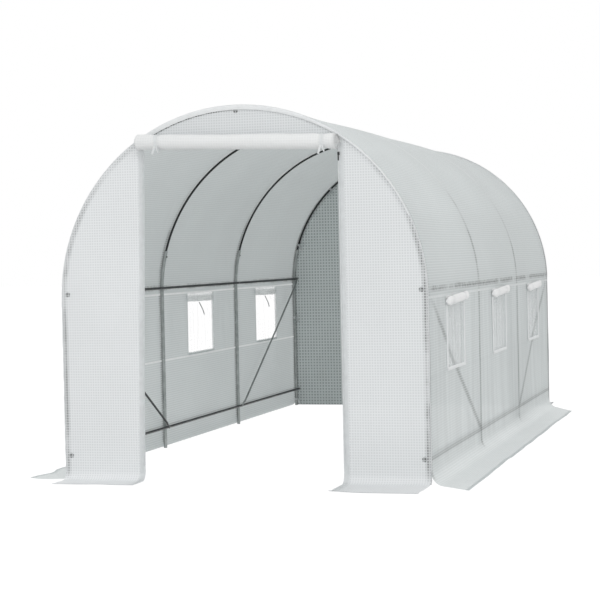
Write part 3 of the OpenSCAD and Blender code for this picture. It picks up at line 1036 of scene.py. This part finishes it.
def hex_bolt(bm, head, axis):
    """Hexagon bolt head on a washer, standing out along an axis."""
    axis = Vector(axis).normalized()
    a = axis.orthogonal().normalized()
    b = axis.cross(a)

    def ring(r, h, n):
        turns = [2 * pi * k / n for k in range(n)]
        return [bm.verts.new(Vector(head) + axis * h + r * (cos(t) * a + sin(t) * b)) for t in turns]

    def band(p, q):
        for k in range(len(p)):
            bm.faces.new((p[k], p[(k + 1) % len(p)], q[(k + 1) % len(p)], q[k]))

    washer_r, head_r, top_r = 0.0066, 0.0055, 0.0046
    washer_h, edge_h, top_h = 0.0012, 0.0046, 0.0053
    rings = [ring(washer_r, 0.0, 18), ring(washer_r, washer_h, 18)]
    band(*rings)
    bm.faces.new(rings[1])
    hexes = [ring(head_r, washer_h, 6), ring(head_r, edge_h, 6), ring(top_r, top_h, 6)]
    band(hexes[0], hexes[1])
    band(hexes[1], hexes[2])
    bm.faces.new(hexes[2])


def make_bolts():
    """Bolts of every hoop: at the ridge, beside it, on the shoulder and base rails and at the arcs' feet."""
    bm = bmesh.new()
    foot, beside = radians(13), 0.0345
    brace_flat, clear = 0.0024, 0.0002
    r = HOOP_R - LEG_R + PLAY
    for y in HOOP_Y:
        hex_bolt(bm, (0, y, RIDGE_Z - RAIL_R + PLAY), (0, 0, -1))
        for side in (-1, 1):
            for z, x in ((SHOULDER_Z, SHOULDER_X), (BASE_Z, RAIL_X)):
                end = abs(y) > BAY
                on_brace = end == (z == SHOULDER_Z)
                face = BRACE_X - brace_flat if on_brace else x - RAIL_R
                hex_bolt(bm, (side * (face + clear), y, z), (-side, 0, 0))
            hex_bolt(bm, (side * r * cos(foot), y, SPRING + r * sin(foot)),
                     (-side * cos(foot), 0, -sin(foot)))
        hex_bolt(bm, (-beside * ARC_IN, y, SPRING + ARC_IN * cos(beside)), (beside, 0, -1))
    add_object("frame_bolts", bmesh_to_mesh(bm), [ZINC], smooth=False)


def make_rear_ties():
    """Tapes with bows that hold the rear panel to its hoop.

    Each leg has two, at heights in metres, and each arc two, at angles in degrees.
    """
    grids = []
    back = Vector((0, 1, 0))
    for side in (-1, 1):
        for z, a in ((0.048, None), (0.692, None), (None, 17.2), (None, 47.0)):
            if a is None:
                tube_r = LEG_R
                centre = Vector((side * HOOP_R, HOOP_Y[-1], z))
                up = Vector((0, 0, 1))
                inward = Vector((-side, 0, 0))
            else:
                t = radians(a)
                tube_r = ARC_R
                centre = Vector((side * ARC_C * cos(t), HOOP_Y[-1], SPRING + ARC_C * sin(t)))
                up = Vector((-side * sin(t), 0, cos(t)))
                inward = Vector((-up.z, 0, up.x)) * side
            ring = [centre + (tube_r + 0.0011) * (cos(b) * inward + sin(b) * back)
                    for b in np.linspace(0.2, 2 * pi + 0.1, 20)]
            grids.append(strip(ring, up, 0.018))
            knot = centre + inward * (tube_r + 0.001) - 0.004 * back
            for e in (-1, 1):
                loop = []
                for b in np.linspace(0, 2 * pi, 13):
                    reach = 0.016 * (1 - cos(b))
                    loop.append(knot + e * up * reach + inward * (0.55 * reach + 0.004 * sin(b))
                                - back * 0.008 * sin(b / 2))
                grids.append(strip(loop, (0, 0.9, 0.3), 0.016))
                tail = [knot + inward * (0.003 + 0.014 * t) + Vector((0, -0.004 * e * t, -0.034 * t))
                        for t in np.linspace(0, 1, 7)]
                grids.append(strip(tail, (0.5, 0.8 * e, 0.2), 0.011))
    obj = join_grids("rear_hoop_tapes", grids, [TAPE])


def add_box(bm, size, centre):
    """Box of a size about its centre."""
    for v in bmesh.ops.create_cube(bm, size=1.0)["verts"]:
        v.co = Vector([a * b for a, b in zip(v.co, size)]) + centre


def make_zips():
    """Zip coils down the door edges, and the slider on the right one."""
    for side in (-1, 1):
        line = [(side * (door_edge_x(side, z) + 0.006), -END - 0.0052 - 0.002 * ripple((side, 0, z), 3.0), z)
                for z in spread([BEND + 0.03, GABLE_Z - 0.03], 0.02)]
        coil = add_object(f"{SIDES[side]}_zip_coil", tube_mesh(line, 0.0026, 6), [TAPE])
    top = Vector(line[-1]) - Vector((0, 0, 0.028))
    bm = bmesh.new()
    add_box(bm, (0.011, 0.008, 0.016), top)
    add_box(bm, (0.007, 0.002, 0.034), top + Vector((0, -0.006, -0.02)))
    bmesh.ops.bevel(bm, geom=bm.edges[:], offset=0.0009, segments=2, affect="EDGES")
    add_object("right_zip_slider", bmesh_to_mesh(bm), [DARK])


# Studio: plain pale floor, soft light and a white backdrop

def seen(s):
    """1 for rays that show what they meet, straight, mirrored or through film."""
    path = s.node("LightPath").outputs
    return s.math("MAXIMUM", s.math("MAXIMUM", path["Is Camera Ray"], path["Is Glossy Ray"]),
                  path["Is Transmission Ray"])


def make_world():
    """White where it is seen; as a light, a little brighter from above, the right and the front."""
    SCENE.world = bpy.data.worlds.new("studio")
    s = Shade("studio", SCENE.world)
    xyz = s.node("SeparateXYZ", Vector=s.node("TexCoord").outputs["Generated"]).outputs
    level = 0.84
    for axis, tilt in ((0, 0.085), (1, -0.03), (2, 0.045)):
        level = s.math("ADD", s.times(xyz[axis], tilt), level)
    light = s.node("Background", Color=(1, 1, 1), Strength=s.math("MAXIMUM", level, 0.1))
    white = s.node("Background", Color=(1, 1, 1), Strength=1)
    s.done(s.mixed(seen(s), light, white), "OutputWorld")


def make_floor():
    """Pale floor that nearly glows where it is seen, so that it meets the backdrop without an edge."""
    s = Shade("floor")
    d = s.node("BsdfDiffuse", Color=(0.82, 0.82, 0.82))
    e = s.node("Emission", Color=(1, 1, 1), Strength=1.1)
    mat = s.done(s.mixed(s.times(seen(s), 0.92), d, e))
    far, z = 60, -0.001
    mesh = bpy.data.meshes.new("floor")
    mesh.from_pydata([(-far, -far, z), (far, -far, z), (far, far, z), (-far, far, z)], [], [(0, 1, 2, 3)])
    mesh.materials.append(mat)
    floor = bpy.data.objects.new("floor", mesh)
    SCENE.collection.objects.link(floor)


def make_key():
    """Large soft lamp in front, high on the right."""
    lamp = bpy.data.lights.new("key", "AREA")
    lamp.shape = "RECTANGLE"
    lamp.size = 7
    lamp.size_y = 4
    lamp.energy = 160
    key = bpy.data.objects.new("key", lamp)
    key.location = (3.0, -9.5, 6.0)
    key.rotation_euler = (Vector((0, -1.0, 0.9)) - key.location).to_track_quat("-Z", "Y").to_euler()
    SCENE.collection.objects.link(key)


make_roof()
for side in SIDES:
    make_band(side)
    make_lower(side)
    make_front_side(side)
    for i in range(len(WIN_Y)):
        make_net(side, i)
        make_flap(side, i)
        make_flap_ties(side, i)
make_gable()
make_rear()
make_door_roll()
make_door_tapes()
make_piping(-1)
make_piping(1)
make_bolts()
make_rear_ties()
make_zips()
make_world()
make_floor()
make_key()
